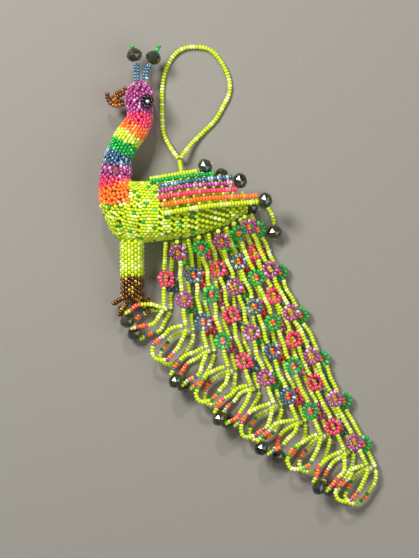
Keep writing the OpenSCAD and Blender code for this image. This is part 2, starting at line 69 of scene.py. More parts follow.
class Socket:
    """Wraps a shader socket or a number, so that maths on it adds Math nodes."""

    def __init__(self, tree: bpy.types.NodeTree, source: object) -> None:
        """Keeps the tree and the socket or number.

        Args:
            tree: The material's node tree.
            source: A node's output socket, or a number.
        """
        self.tree = tree
        self.source = source

    def _math(self, operation: str, *values: object, clamp: bool = False) -> "Socket":
        """Adds one Math node.

        Args:
            operation: The Math node's operation.
            values: Sockets or numbers for its inputs.
            clamp: Whether the result is kept from 0 to 1.

        Returns:
            The node's result.
        """
        node = self.tree.nodes.new("ShaderNodeMath")
        node.operation = operation
        node.use_clamp = clamp
        for slot, value in zip(node.inputs, values):
            feed(self.tree, slot, value)
        return Socket(self.tree, node.outputs[0])

    def __add__(self, other: object) -> "Socket":
        """Adds a value."""
        return self._math("ADD", self, other)

    def __sub__(self, other: object) -> "Socket":
        """Takes a value away."""
        return self._math("SUBTRACT", self, other)

    def __mul__(self, other: object) -> "Socket":
        """Multiplies by a value."""
        return self._math("MULTIPLY", self, other)

    def above(self, limit: float) -> "Socket":
        """Gives 1 where this is over a limit, and 0 elsewhere."""
        return self._math("GREATER_THAN", self, limit)

    def clamped(self) -> "Socket":
        """Keeps the value from 0 to 1."""
        return self._math("ADD", self, 0.0, clamp=True)


def feed(tree: bpy.types.NodeTree, slot: bpy.types.NodeSocket, value: object) -> None:
    """Links a socket into an input, or sets the input to a value.

    Args:
        tree: The node tree.
        slot: The input to fill.
        value: A Socket, a raw output socket, a number or a tuple.
    """
    if isinstance(value, Socket):
        value = value.source
    if isinstance(value, bpy.types.NodeSocket):
        tree.links.new(value, slot)
    else:
        slot.default_value = value


class Shader:
    """One material under construction."""

    def __init__(self, name: str) -> None:
        """Starts an empty node material.

        Args:
            name: The material's name.
        """
        self.material = bpy.data.materials.new(name)
        self.material.use_nodes = True
        self.tree = self.material.node_tree
        self.tree.nodes.clear()

    def node(self, kind: str, settings: dict[str, object], values: dict[object, object],
             output: object = 0) -> Socket:
        """Adds a node.

        Args:
            kind: The node's type.
            settings: Attributes, which are set first.
            values: Input name or index to a value or link.
            output: The output's name or index.

        Returns:
            The chosen output.
        """
        made = self.tree.nodes.new(kind)
        for key, value in settings.items():
            setattr(made, key, value)
        for key, value in values.items():
            feed(self.tree, made.inputs[key], value)
        return Socket(self.tree, made.outputs[output])

    def place(self) -> Socket:
        """Gives Object coordinates."""
        return self.node("ShaderNodeTexCoord", {}, {}, "Object")

    def attribute(self, name: str) -> Socket:
        """Gives a named number that is stored on the mesh."""
        return self.node("ShaderNodeAttribute", {"attribute_name": name}, {}, "Fac")

    def noise(self, scale: float, detail: float = 2.0) -> Socket:
        """Gives a noise value over the piece.

        Args:
            scale: Cycles a metre.
            detail: Octaves.

        Returns:
            The noise, about 0.5 on average.
        """
        return self.node("ShaderNodeTexNoise", {}, {"Vector": self.place(), "Scale": scale, "Detail": detail})

    def blend(self, factor: object, low: object, high: object) -> Socket:
        """Mixes two colours.

        Args:
            factor: How much of the second colour.
            low: The first colour.
            high: The second colour.

        Returns:
            The mixed colour.
        """
        made = self.tree.nodes.new("ShaderNodeMix")
        made.data_type = "RGBA"
        for index, value in ((0, factor), (6, low), (7, high)):
            feed(self.tree, made.inputs[index], value)
        return Socket(self.tree, made.outputs[2])

    def bump(self, height: Socket, strength: float, distance: float) -> Socket:
        """Turns a value into a bumped normal.

        Args:
            height: The value that stands for height.
            strength: How strongly it tells.
            distance: The height of a full step, in metres.

        Returns:
            The normal.
        """
        return self.node("ShaderNodeBump", {}, {"Strength": strength, "Distance": distance, "Height": height},
                         "Normal")

    def finish(self, values: dict[str, object]) -> bpy.types.Material:
        """Adds the surface shader and the output.

        Args:
            values: Input name to value or link on the shader.

        Returns:
            The finished material.
        """
        surface = self.node("ShaderNodeBsdfPrincipled", {}, values)
        out = self.tree.nodes.new("ShaderNodeOutputMaterial")
        self.tree.links.new(surface.source, out.inputs["Surface"])
        return self.material


@dataclass(frozen=True)
class BeadFinish:
    """How the beads of one colour look."""

    name: str
    base: Colour
    deep: Colour
    # pale: the colour of a painted glint, given to a random share (painted_glint_share) of the beads
    pale: Colour
    slot: str
    metallic: float = 0.0
    roughness: float = 0.16
    coat: float = 0.3
    painted_glint_share: float = 0.12
    # painted_glow: emission strength of the bead colour, painted light, since the beads are no lamps
    painted_glow: float = 0.0

    def build(self) -> bpy.types.Material:
        """Makes the material: colour that differs from bead to bead, painted glints on a random share of beads,
        painted shade at each bead's ends, a painted glow, and small flaws in the gloss.
        """
        shader = Shader(self.name)
        bead = shader.attribute("bead")
        mottle = shader.noise(900.0, 3.0)
        tone = (bead * 0.75 + mottle * 0.35 - 0.1).clamped()
        colour = shader.blend(tone, self.deep, self.base)
        # Painted glint: a random share of the beads is mixed most of the way to the pale colour
        pale = bead.above(1.0 - self.painted_glint_share) * 0.8
        colour = shader.blend(pale, colour, self.pale)
        # Painted shade: each bead darkens towards its ends, as shade in the gaps between beads
        rim = shader.attribute("rim")
        colour = shader.blend(rim * 0.55, colour, darker(self.deep, 0.45))
        bump = shader.bump(shader.noise(1600.0), 0.12, 0.1 * MM)
        return shader.finish({
            "Base Color": colour,
            "Metallic": self.metallic,
            "Roughness": (mottle * 0.16 + bead * 0.1 + (self.roughness - 0.1)).clamped(),
            "Coat Weight": self.coat,
            "Coat Roughness": 0.05,
            # Painted glow: the beads give off light of their own colour
            "Emission Color": colour,
            "Emission Strength": self.painted_glow,
            "Normal": bump,
        })


class Bead(Enum):
    """The bead colours of the ornament."""

    LIME = BeadFinish("lime_glass", (0.64, 0.80, 0.02, 1), (0.46, 0.62, 0.01, 1), (0.86, 0.93, 0.34, 1),
                      "lime_beads", painted_glow=0.16, painted_glint_share=0.2)
    GREEN = BeadFinish("green_glass", (0.01, 0.50, 0.06, 1), (0.0, 0.26, 0.03, 1), (0.10, 0.72, 0.20, 1),
                       "green_beads", painted_glow=0.05)
    BLUE = BeadFinish("blue_lustre", (0.15, 0.30, 0.43, 1), (0.05, 0.14, 0.23, 1), (0.55, 0.74, 0.86, 1),
                      "blue_beads", painted_glint_share=0.25, metallic=0.45, coat=0.5, painted_glow=0.02)
    PURPLE = BeadFinish("purple_lustre", (0.62, 0.12, 0.37, 1), (0.38, 0.05, 0.22, 1), (0.85, 0.46, 0.70, 1),
                        "purple_beads", painted_glint_share=0.22, metallic=0.3, coat=0.5, painted_glow=0.05)
    PINK = BeadFinish("pink_glass", (0.95, 0.07, 0.16, 1), (0.72, 0.03, 0.09, 1), (1.0, 0.20, 0.28, 1),
                      "pink_beads", painted_glow=0.12)
    ORANGE = BeadFinish("orange_glass", (1.0, 0.23, 0.03, 1), (0.86, 0.13, 0.01, 1), (1.0, 0.36, 0.10, 1),
                        "orange_beads", painted_glow=0.18)
    AMBER = BeadFinish("amber_glass", (0.27, 0.11, 0.005, 1), (0.10, 0.035, 0.0, 1), (0.72, 0.42, 0.06, 1),
                       "amber_beads", metallic=0.6, coat=0.6, painted_glint_share=0.2)
    BROWN = BeadFinish("brown_glass", (0.22, 0.062, 0.003, 1), (0.11, 0.028, 0.001, 1), (0.40, 0.15, 0.02, 1),
                       "amber_beads", metallic=0.2, painted_glint_share=0.12)
    BLACK = BeadFinish("black_glass", (0.008, 0.008, 0.01, 1), (0.003, 0.003, 0.004, 1), (0.02, 0.02, 0.025, 1),
                       "black_beads", roughness=0.14)
    SILVER = BeadFinish("silver_glass", (0.72, 0.74, 0.76, 1), (0.5, 0.52, 0.54, 1), (0.9, 0.9, 0.9, 1),
                        "silver_beads", metallic=0.8)
    CLEAR = BeadFinish("clear_glass", (0.52, 0.64, 0.03, 1), (0.36, 0.47, 0.01, 1), (0.72, 0.82, 0.15, 1),
                       "lime_beads", coat=0.6, painted_glow=0.12)


@dataclass(frozen=True)
class CrystalFinish:
    """Smoky cut glass with a metallic coat that turns from olive to steel blue."""

    name: str = "smoky_crystal"
    smoke: Colour = (0.010, 0.012, 0.011, 1)
    olive: Colour = (0.11, 0.11, 0.035, 1)
    steel: Colour = (0.035, 0.07, 0.09, 1)

    def build(self) -> bpy.types.Material:
        """Makes the material, with a tint that differs between facets."""
        shader = Shader(self.name)
        drift = shader.noise(260.0, 1.0)
        patch = shader.node("ShaderNodeTexVoronoi", {}, {"Vector": shader.place(), "Scale": 420.0}, "Color")
        split = shader.node("ShaderNodeSeparateColor", {}, {"Color": patch}, 0)
        olive = shader.blend((drift * 2.2 - 0.75).clamped(), self.smoke, self.olive)
        colour = shader.blend(split.above(0.66) * 0.6, olive, self.steel)
        return shader.finish({
            "Base Color": colour,
            "Metallic": 0.6,
            "Roughness": (drift * 0.1 + 0.02).clamped(),
            "Coat Weight": 1.0,
            "Coat Roughness": 0.02,
        })


@dataclass(frozen=True)
class ThreadFinish:
    """Twisted nylon beading thread."""

    name: str = "beading_thread"
    colour: Colour = (0.66, 0.70, 0.30, 1)

    def build(self) -> bpy.types.Material:
        """Makes the material, with the twist as fine bands that are darker in their grooves as painted shade.
        """
        shader = Shader(self.name)
        twist = shader.node("ShaderNodeTexWave", {"bands_direction": "DIAGONAL"},
                            {"Vector": shader.place(), "Scale": 900.0, "Distortion": 1.5}, "Fac")
        # Painted shade: the twist's low bands, which the bump makes grooves, take the darker colour
        colour = shader.blend(twist, darker(self.colour, 0.7), self.colour)
        return shader.finish({"Base Color": colour, "Roughness": 0.55,
                              "Normal": shader.bump(twist, 0.4, 0.05 * MM)})


@dataclass(frozen=True)
class FillingFinish:
    """Loose fibre that shows dimly between the beads, coloured dark as painted shade for the gaps."""

    name: str = "fibre_filling"
    # Painted shade: dark lime, and dark rose under the neck, so that the gaps between beads look like shadowed
    # beads
    colour: Colour = (0.34, 0.40, 0.04, 1)
    matted: Colour = (0.16, 0.19, 0.02, 1)
    neck_colour: Colour = (0.30, 0.09, 0.16, 1)
    neck_from: float = 48 * MM

    def build(self) -> bpy.types.Material:
        """Makes the material, with matted fibres, in dark lime and, from neck_from up, dark rose, both as
        painted shade.
        """
        shader = Shader(self.name)
        mat = shader.noise(2200.0, 4.0)
        lime = shader.blend(mat, self.matted, self.colour)
        height = shader.node("ShaderNodeSeparateXYZ", {}, {"Vector": shader.place()}, "Y")
        colour = shader.blend(height.above(self.neck_from), lime, self.neck_colour)
        return shader.finish({"Base Color": colour, "Roughness": 0.9,
                              "Normal": shader.bump(mat, 0.7, 0.2 * MM)})


# ---- Shapes ----


def placed(name: str, data: bpy.types.ID) -> bpy.types.Object:
    """Makes an object of some data, in the scene."""
    made = bpy.data.objects.new(name, data)
    bpy.context.scene.collection.objects.link(made)
    return made


def mesh_from(name: str, shape: bmesh.types.BMesh) -> bpy.types.Mesh:
    """Makes a mesh of a shape, and frees the shape."""
    mesh = bpy.data.meshes.new(name)
    shape.to_mesh(mesh)
    shape.free()
    return mesh


@dataclass
class SeedBead:
    """The drawn-glass seed bead that everything is strung from."""

    diameter: float = 1.7 * MM
    length: float = 1.2 * MM
    hole: float = 0.6 * MM
    steps: int = 9
    mesh: bpy.types.Mesh = field(init=False)

    def __post_init__(self) -> None:
        """Spins the bead's outline about its hole, along Z."""
        r, h, inner = self.diameter / 2, self.length * 0.49, self.hole / 2
        outline = [(inner, -h * 0.84), (r * 0.76, -h), (r, -h * 0.45), (r, h * 0.45), (r * 0.76, h),
                   (inner, h * 0.84)]
        shape = bmesh.new()
        points = [shape.verts.new((x, 0.0, z)) for x, z in outline]
        edges = [shape.edges.new((points[i], points[(i + 1) % len(points)])) for i in range(len(points))]
        bmesh.ops.spin(shape, geom=points + edges, cent=(0, 0, 0), axis=(0, 0, 1), angle=math.tau,
                       steps=self.steps, use_merge=True)
        bmesh.ops.remove_doubles(shape, verts=shape.verts, dist=1e-6)
        bmesh.ops.recalc_face_normals(shape, faces=shape.faces)
        # Mask of painted shade: 0 over the bead's middle, rising to 1 at its ends, where the material darkens
        # the bead
        rim = shape.verts.layers.float.new("rim")
        shape.verts.layers.float.new("bead")
        for vert in shape.verts:
            vert[rim] = min(1.0, max(0.0, (abs(vert.co.z) / h - 0.7) / 0.3))
        for face in shape.faces:
            face.smooth = True
        self.mesh = mesh_from("seed_bead", shape)

    def strew(self, name: str, places: Sequence[Place]) -> bpy.types.Object:
        """Joins one bead at each place into an object.

        Args:
            name: The object's name.
            places: Where each bead goes, with its hole along the matrix's Z.

        Returns:
            The object, with a number from 0 to 1 stored for each bead.
        """
        chance = random.Random(f"{SEED}{name}")
        shape = bmesh.new()
        for place in places:
            copy = self.mesh.copy()
            copy.transform(place)
            tone = chance.random()
            copy.attributes["bead"].data.foreach_set("value", [tone] * len(copy.vertices))
            shape.from_mesh(copy)
            bpy.data.meshes.remove(copy)
        return placed(name, mesh_from(name, shape))


def thread_curve(name: str, paths: Iterable[Sequence[Vector]], diameter: float) -> bpy.types.Object:
    """Makes threads that follow paths.

    Args:
        name: The object's name.
        paths: The points of each thread.
        diameter: The thread's diameter.

    Returns:
        The curve object.
    """
    curve = bpy.data.curves.new(name, "CURVE")
    curve.dimensions = "3D"
    curve.bevel_depth = diameter / 2
    curve.bevel_resolution = 2
    curve.use_fill_caps = True
    for path in paths:
        line = curve.splines.new("POLY")
        line.points.add(len(path) - 1)
        for point, at in zip(line.points, path):
            point.co = (*at, 1.0)
    return placed(name, curve)


def smooth(knots: Sequence[Vector], steps: int) -> list[Vector]:
    """Runs a smooth curve through knots.

    Args:
        knots: The points to pass through.
        steps: Points for each span.

    Returns:
        The points of the curve.
    """
    out = []
    last = len(knots) - 1
    for i in range(last):
        a, b, c, d = knots[max(i - 1, 0)], knots[i], knots[i + 1], knots[min(i + 2, last)]
        for k in range(steps):
            t = k / steps
            out.append(0.5 * (2 * b + (c - a) * t + (2 * a - 5 * b + 4 * c - d) * t * t
                              + (3 * b - a - 3 * c + d) * t * t * t))
    return out + [knots[-1]]


def lengths(path: Sequence[Vector]) -> list[float]:
    """Gives how far along a path each of its points is."""
    out = [0.0]
    for a, b in zip(path, path[1:]):
        out.append(out[-1] + (b - a).length)
    return out


def along(path: Sequence[Vector], marks: Sequence[float], at: float) -> tuple[Vector, Vector]:
    """Finds a point on a path.

    Args:
        path: The path's points.
        marks: The length at each point.
        at: How far along to look.

    Returns:
        The point, and the direction there.
    """
    i = next((k for k in range(len(path) - 2) if marks[k + 1] >= at), len(path) - 2)
    span = max(marks[i + 1] - marks[i], 1e-9)
    t = (at - marks[i]) / span
    return path[i].lerp(path[i + 1], t), (path[i + 1] - path[i]).normalized()


def upright(at: Vector, hole: Vector, out: Vector = Vector((0, 0, 1))) -> Place:
    """Gives a bead's place.

    Args:
        at: The bead's middle.
        hole: The direction of its hole.
        out: Roughly the direction away from the work.

    Returns:
        The matrix.
    """
    z = hole.normalized()
    x = (out - out.dot(z) * z)
    x = x.normalized() if x.length > 1e-6 else z.orthogonal().normalized()
    y = z.cross(x)
    return Matrix.Translation(at) @ Matrix((x, y, z)).transposed().to_4x4()


@dataclass
class Stringer:
    """Sets beads side by side along a path, with the small unevenness of handwork."""

    bead: SeedBead
    chance: random.Random

    def lay(self, path: Sequence[Vector], start: float = 0.0, end: float = 0.0,
            count: int | None = None) -> list[Place]:
        """Fills a path with beads.

        Args:
            path: The path's points.
            start: Length left bare at the start.
            end: Length left bare at the end.
            count: How many beads, or None for as many as fit.

        Returns:
            One place for each bead.
        """
        marks = lengths(path)
        room = marks[-1] - start - end
        number = count or max(1, round(room / self.bead.length))
        pitch = room / number
        places = []
        for k in range(number):
            at, hole = along(path, marks, start + (k + 0.5) * pitch)
            tilt = Vector([self.chance.gauss(0, 0.045) for _ in range(3)])
            place = upright(at, hole + tilt)
            size = 1 + self.chance.gauss(0, 0.025)
            stretch = min(1.15, pitch / self.bead.length) * (1 + self.chance.gauss(0, 0.03))
            places.append(place @ Matrix.Diagonal((size, size, stretch, 1)))
        return places


def mm(x: float, y: float, z: float = 0.0) -> Vector:
    """Gives a point from millimetres."""
    return Vector((x, y, z)) * MM


def dress(piece: bpy.types.Object, material: bpy.types.Material, body: str,
          stands_for: Sequence[str] = ()) -> None:
    """Gives a piece its material, its body and the nodes that it stands for.

    Args:
        piece: The finished piece.
        material: Its material.
        body: The CAD body that it moves with.
        stands_for: CAD nodes that it replaces.
    """
    piece.data.materials.append(material)
    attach(piece, body)
    if stands_for:
        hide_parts(*stands_for)
    LOG.info("%s on %s", piece.name, body)


@dataclass
class Workshop:
    """What every sub-assembly shares: the bead, its materials and the thread."""

    bead: SeedBead = field(default_factory=SeedBead)
    glass: dict[Bead, bpy.types.Material] = field(default_factory=dict)
    thread: bpy.types.Material = field(init=False)
    thread_d: float = 0.45 * MM

    def __post_init__(self) -> None:
        """Makes the materials."""
        self.glass = {kind: kind.value.build() for kind in Bead}
        self.thread = ThreadFinish().build()

    def stringer(self, name: str) -> Stringer:
        """Gives a stringer whose unevenness depends only on a name."""
        return Stringer(self.bead, random.Random(f"{SEED}{name}"))

    def beads(self, name: str, places: Sequence[Place], kind: Bead, body: str,
              stands_for: Sequence[str] = (), slot: str | None = None) -> bpy.types.Object:
        """Makes one piece of beads of a colour.

        Args:
            name: The piece's name.
            places: Where the beads go.
            kind: Their colour.
            body: The body that they move with.
            stands_for: CAD nodes that they replace.
            slot: A slot name, or None for the colour's own; not used.

        Returns:
            The piece.
        """
        piece = self.bead.strew(name, places)
        dress(piece, self.glass[kind], body, stands_for)
        return piece

    def threads(self, name: str, paths: Sequence[Sequence[Vector]], body: str) -> bpy.types.Object:
        """Makes one piece of threads.

        Args:
            name: The piece's name.
            paths: The threads' points.
            body: The body that they move with.

        Returns:
            The piece.
        """
        piece = thread_curve(name, paths, self.thread_d)
        dress(piece, self.thread, body)
        return piece


# ---- The woven body ----


@dataclass
class Station:
    """One cross-section of the woven body."""

    inner: Vector
    outer: Vector
    z: float
    half: float

    def point(self, turn: float, inset: float) -> Vector:
        """Gives a point of the section, drawn in from the outside.

        Args:
            turn: Angle from the inner point, over the near side first.
            inset: How far in from the outside.

        Returns:
            The point.
        """
        middle = (self.inner + self.outer) / 2
        axis = (self.inner - self.outer).normalized()
        a = (self.inner - self.outer).length / 2 - inset
        b = self.half - inset
        a, b = max(a, 0.2 * MM), max(b, 0.2 * MM)
        across = a * math.cos(turn) * axis
        return Vector((middle.x, middle.y, self.z)) + across + Vector((0, 0, b * math.sin(turn)))

    def toward(self, other: "Station", t: float) -> "Station":
        """Gives the section a share of the way to another one."""
        return Station(self.inner.lerp(other.inner, t), self.outer.lerp(other.outer, t),
                       self.z + (other.z - self.z) * t, self.half + (other.half - self.half) * t)


@dataclass
class Spot:
    """One bead's place on a woven skin, by its run along the stations and its turn round them."""

    run: float
    turn: float
    ring: int
    number: int
    at: Vector


@dataclass
class WovenSkin:
    """Beads woven in offset rings over a run of cross-sections."""

    shop: Workshop
    ring_step: float = 0.83 * MM
    bead_step: float = 2.34 * MM
    inset: float = 0.85 * MM
    closest: float = 1.08 * MM
    reach: float = 1.45 * MM
    rounds: int = 22
    turns: int = 96
    push_limit: float = 0.2 * MM

    def section(self, stations: Sequence[Station], run: float) -> Station:
        """Gives the cross-section at a place along the stations."""
        i = min(max(int(run), 0), len(stations) - 2)
        return stations[i].toward(stations[i + 1], run - i)

    def spots(self, stations: Sequence[Station]) -> list[Spot]:
        """Lays beads ring by ring, and leaves out those that fall on another one.

        Args:
            stations: The cross-sections, in order.

        Returns:
            The beads' places.
        """
        found: list[Spot] = []
        cells: dict[tuple[int, int, int], list[Spot]] = {}
        marks = [0.0]
        for a, b in zip(stations, stations[1:]):
            centre = ((b.inner + b.outer) - (a.inner + a.outer)).length / 2
            marks.append(marks[-1] + max((b.inner - a.inner).length, (b.outer - a.outer).length,
                                         math.hypot(centre, b.half - a.half)))
        for ring in range(int(marks[-1] / self.ring_step) + 1):
            at = ring * self.ring_step
            i = next((k for k in range(len(stations) - 2) if marks[k + 1] >= at), len(stations) - 2)
            run = i + (at - marks[i]) / max(marks[i + 1] - marks[i], 1e-9)
            section = self.section(stations, run)
            loop = [section.point(math.tau * k / self.turns, self.inset) for k in range(self.turns + 1)]
            around = lengths(loop)
            number = max(1, round(around[-1] / self.bead_step))
            for k in range(number):
                goal = (k + 0.5 * (ring % 2)) / number * around[-1]
                j = next(n for n in range(self.turns) if around[n + 1] >= goal)
                turn = math.tau * (j + (goal - around[j]) / (around[j + 1] - around[j])) / self.turns
                spot = Spot(run, turn, ring, k, section.point(turn, self.inset))
                if all((other.at - spot.at).length >= self.closest for other in self.near(cells, spot.at)):
                    cells.setdefault(self.cell(spot.at), []).append(spot)
                    found.append(spot)
        return found

    def cell(self, at: Vector) -> tuple[int, int, int]:
        """Gives the grid cell of a point."""
        return tuple(int(math.floor(c / self.reach)) for c in at)

    def near(self, cells: dict[tuple[int, int, int], list[Spot]], at: Vector) -> list[Spot]:
        """Gives the spots in the cells about a point."""
        x, y, z = self.cell(at)
        return [spot for i in (x - 1, x, x + 1) for j in (y - 1, y, y + 1) for k in (z - 1, z, z + 1)
                for spot in cells.get((i, j, k), ())]

    def settle(self, stations: Sequence[Station], spots: list[Spot]) -> None:
        """Pushes crowded beads apart along the skin, which closes the gaps beside them.

        Args:
            stations: The cross-sections.
            spots: The beads, which are moved.
        """
        small = 0.01
        for _ in range(self.rounds):
            cells: dict[tuple[int, int, int], list[Spot]] = {}
            for spot in spots:
                cells.setdefault(self.cell(spot.at), []).append(spot)
            for spot in spots:
                push = Vector()
                for other in self.near(cells, spot.at):
                    apart = spot.at - other.at
                    if other is not spot and 0 < apart.length < self.reach:
                        push += apart * (self.reach / apart.length - 1) * 0.45
                if push.length < 0.01 * MM:
                    continue
                push *= min(1.0, self.push_limit / push.length)
                section = self.section(stations, spot.run)
                ahead = self.section(stations, spot.run + small).point(spot.turn, self.inset) - spot.at
                aside = section.point(spot.turn + small, self.inset) - spot.at
                spot.run += small * push.dot(ahead) / max(ahead.length_squared, 1e-14)
                spot.turn += small * push.dot(aside) / max(aside.length_squared, 1e-14)
                spot.run = min(max(spot.run, 0.0), len(stations) - 1.0)
                spot.at = self.section(stations, spot.run).point(spot.turn, self.inset)

    def weave(self, stations: Sequence[Station],
              paint: Callable[[Spot], object | None]) -> dict[object, list[Place]]:
        """Weaves beads over the stations.

        Args:
            stations: The cross-sections, in order.
            paint: Gives a bead's key, or None to leave the bead out.

        Returns:
            The beads' places by key.
        """
        spots = self.spots(stations)
        self.settle(stations, spots)
        chance = random.Random(SEED)
        found: dict[object, list[Place]] = {}
        for spot in spots:
            key = paint(spot)
            if key is None:
                continue
            section = self.section(stations, spot.run)
            hole = (section.point(spot.turn + 0.05, self.inset) - section.point(spot.turn - 0.05, self.inset))
            hole = hole.normalized() + Vector([chance.gauss(0, 0.06) for _ in range(3)])
            middle = (section.inner + section.outer) / 2
            out = spot.at - Vector((middle.x, middle.y, section.z))
            size = 1.04 + chance.gauss(0, 0.025)
            found.setdefault(key, []).append(
                upright(spot.at, hole, out) @ Matrix.Diagonal((size, size, 1.03, 1)))
        return found


@dataclass
class Bird:
    """The body: head, banded neck, torso, face, legs and toes."""

    shop: Workshop
    head: Vector = field(default_factory=lambda: mm(-38.3, 68.1))
    head_rx: float = 5.9 * MM
    head_ry: float = 6.1 * MM
    torso_z: float = 10.8 * MM
    head_z: float = 8.1 * MM
    torso_half: float = 8.5 * MM
    neck_ends: tuple[float, float] = (36 * MM, 61.8 * MM)
    eye_tilt: float = math.radians(30)
    eye_turn: float = math.radians(-30)
    eye_clear: float = 1.2 * MM
    eye_rise: float = 6.87 * MM
    eye_ring: float = 2.0 * MM
    eye_beads: int = 9
    chest_corner: tuple[float, float] = (-42.3 * MM, 27.2 * MM)
    body: str = "bird"

    def neck_height(self, y: float) -> float:
        """Gives the neck's middle height at a place along it."""
        low, high = self.neck_ends
        t = min(1.0, max(0.0, (y - low) / (high - low)))
        return self.torso_z + (self.head_z - self.torso_z) * t

    def head_stations(self) -> list[Station]:
        """Gives the head's sections, from the crown down."""
        out = []
        for i in range(9):
            a = math.radians(8 + (116 - 8) * i / 8)
            half, y = self.head_rx * math.sin(a), self.head.y + self.head_ry * math.cos(a)
            out.append(Station(Vector((self.head.x + half, y, 0)), Vector((self.head.x - half, y, 0)),
                               self.head_z, half))
        return out

    def neck_stations(self) -> list[Station]:
        """Gives the neck's sections, with two for each colour band."""
        knots = [(-38.2, 61.8, 10.2), (-38.4, 59.4, 10.4), (-39.4, 57.5, 10.7), (-40.5, 55.8, 11),
                 (-41.7, 54.2, 11), (-42.9, 52.7, 11), (-43.8, 51, 11), (-44.6, 49.2, 11),
                 (-45.8, 47.1, 10.9), (-46.7, 45, 10.8), (-47, 42.3, 11.6), (-47.2, 39.6, 12.6),
                 (-47.7, 37.3, 12.3)]
        centres = [mm(x, y) for x, y, _ in knots] + [mm(-47.7, 34.65)]
        out = []
        for i, (x, y, width) in enumerate(knots):
            before = centres[i - 1] if 0 < i < len(knots) - 1 else centres[i]
            way = (centres[i + 1] - before).normalized()
            side = Vector((-way.y, way.x, 0)) * width / 2 * MM
            out.append(Station(centres[i] + side, centres[i] - side, self.neck_height(y * MM), width / 2 * MM))
        return out

    def torso_stations(self) -> list[Station]:
        """Gives the torso's sections, from the breast to the tail."""
        knots = [(-41.4, 36.3, -54, 33, 0.84), (-41, 36, -53.9, 26.6, 0.9), (-40.4, 35.9, -51.6, 21.8, 0.95),
                 (-39.6, 35.9, -49.6, 17.4, 0.98), (-38.2, 36, -47.2, 13.8, 1), (-36.5, 36.1, -43, 12.4, 1),
                 (-34.4, 36.1, -36.5, 12.4, 1), (-27.5, 35.4, -27.5, 13.4, 1), (-20.6, 34.6, -20.6, 14.2, 0.92),
                 (-13.3, 33.5, -13.3, 16.1, 0.78), (-4.4, 31.9, -4.4, 19.3, 0.58), (0.5, 30, 0.5, 22.6, 0.38),
                 (3.3, 28.8, 3.3, 24.2, 0.24)]
        return [Station(mm(a, b), mm(c, d), self.torso_z, share * self.torso_half)
                for a, b, c, d, share in knots]

    def eye_way(self, side: int) -> Vector:
        """Gives the direction from the head's middle to an eye, near for 1 and far for -1."""
        flat = math.sin(self.eye_tilt)
        return Vector((flat * math.cos(self.eye_turn), flat * math.sin(self.eye_turn),
                       side * math.cos(self.eye_tilt)))

    def head_middle(self) -> Vector:
        """Gives the head's middle."""
        return Vector((self.head.x, self.head.y, self.head_z))

    def weave_body(self) -> None:
        """Weaves head, neck and torso as one run of rings, split by colour."""
        head, neck, torso = self.head_stations(), self.neck_stations(), self.torso_stations()
        neck_first, torso_first = len(head), len(head) + len(neck)
        bands = [("neck_pink", Bead.PINK), ("neck_orange", Bead.ORANGE), ("neck_lime", Bead.LIME),
                 ("neck_green", Bead.GREEN), ("neck_blue", Bead.BLUE), ("neck_purple", Bead.PURPLE),
                 ("neck_rose", Bead.PINK)]
        eyes = [self.head_middle() + self.eye_way(side) * self.head_rx for side in (1, -1)]
        chance = random.Random(SEED)

        def paint(spot: Spot) -> object | None:
            """Chooses a bead's piece and colour by where it is."""
            if spot.run < neck_first:
                near_eye = any((spot.at - eye).length < self.eye_clear for eye in eyes)
                return None if near_eye else ("head_skin", Bead.PURPLE)
            if spot.run < torso_first:
                return bands[min(len(bands) - 1, int((spot.run - neck_first) / 2))]
            if spot.at.x < self.chest_corner[0] and spot.at.y > self.chest_corner[1]:
                return ("chest_orange", Bead.ORANGE)
            if spot.ring % 6 == 0 and spot.number % 3 == (spot.ring // 6) % 3:
                return ("torso_dots", Bead.GREEN)
            return ("torso_clear", Bead.CLEAR) if chance.random() < 0.2 else ("torso_skin", Bead.LIME)

        found = WovenSkin(self.shop).weave(head + neck + torso, paint)
        for (name, kind), places in sorted(found.items(), key=lambda entry: entry[0][0]):
            node = "torso_skin" if name.startswith("torso") else name
            self.shop.beads(f"{name}_beads", places, kind, self.body, (node,),
                            "lime_beads" if node == "torso_skin" else None)

    def make_face(self) -> None:
        """Makes both eyes and the two halves of the beak."""
        ring, pupils = [], []
        for side in (1, -1):
            way = self.eye_way(side)
            middle = self.head_middle() + way * self.eye_rise
            across = way.orthogonal().normalized()
            other = way.cross(across)
            for k in range(self.eye_beads):
                a = math.tau * k / self.eye_beads
                spoke = math.cos(a) * across + math.sin(a) * other
                tangent = math.cos(a) * other - math.sin(a) * across
                ring.append(upright(middle + spoke * self.eye_ring, tangent, way)
                            @ Matrix.Diagonal((1.04, 1.04, 1.12, 1)))
            pupils.append(upright(middle + way * 0.2 * MM, across, way) @ Matrix.Diagonal((1.1, 1.1, 1.5, 1)))
        self.shop.beads("eye_ring_beads", ring, Bead.BLACK, self.body, ("eye_rings",))
        self.shop.beads("eye_pupil_beads", pupils, Bead.SILVER, self.body, ("eye_pupils",))
        self.make_beak()

    def make_beak(self) -> None:
        """Strings each half of the beak as an outer and an inner row."""
        hand = self.shop.stringer("beak")
        upper, lower, inner_lower = (smooth([Vector((x * MM, y * MM, self.head_z)) for x, y in knots], 4)
                                     for knots in (
            ((-43.4, 72), (-46.4, 70.2), (-48.4, 68.7)),
            ((-44.2, 65.9), (-47.2, 65.1), (-49.3, 65.9), (-50.6, 68), (-50.8, 70.2)),
            ((-44.4, 67.3), (-47, 66.6), (-48.4, 67.3), (-49.4, 68.6))))
        inner_upper = [point + mm(0.3, -1.2) for point in upper]
        stout = Matrix.Diagonal((1.3, 1.15, 1.0, 1))
        for half, rows in (("upper", (upper, inner_upper)), ("lower", (lower, inner_lower))):
            places = [place @ stout for row in rows for place in hand.lay(row)]
            self.shop.beads(f"beak_{half}_beads", places, Bead.BROWN, self.body, (f"beak_{half}",))

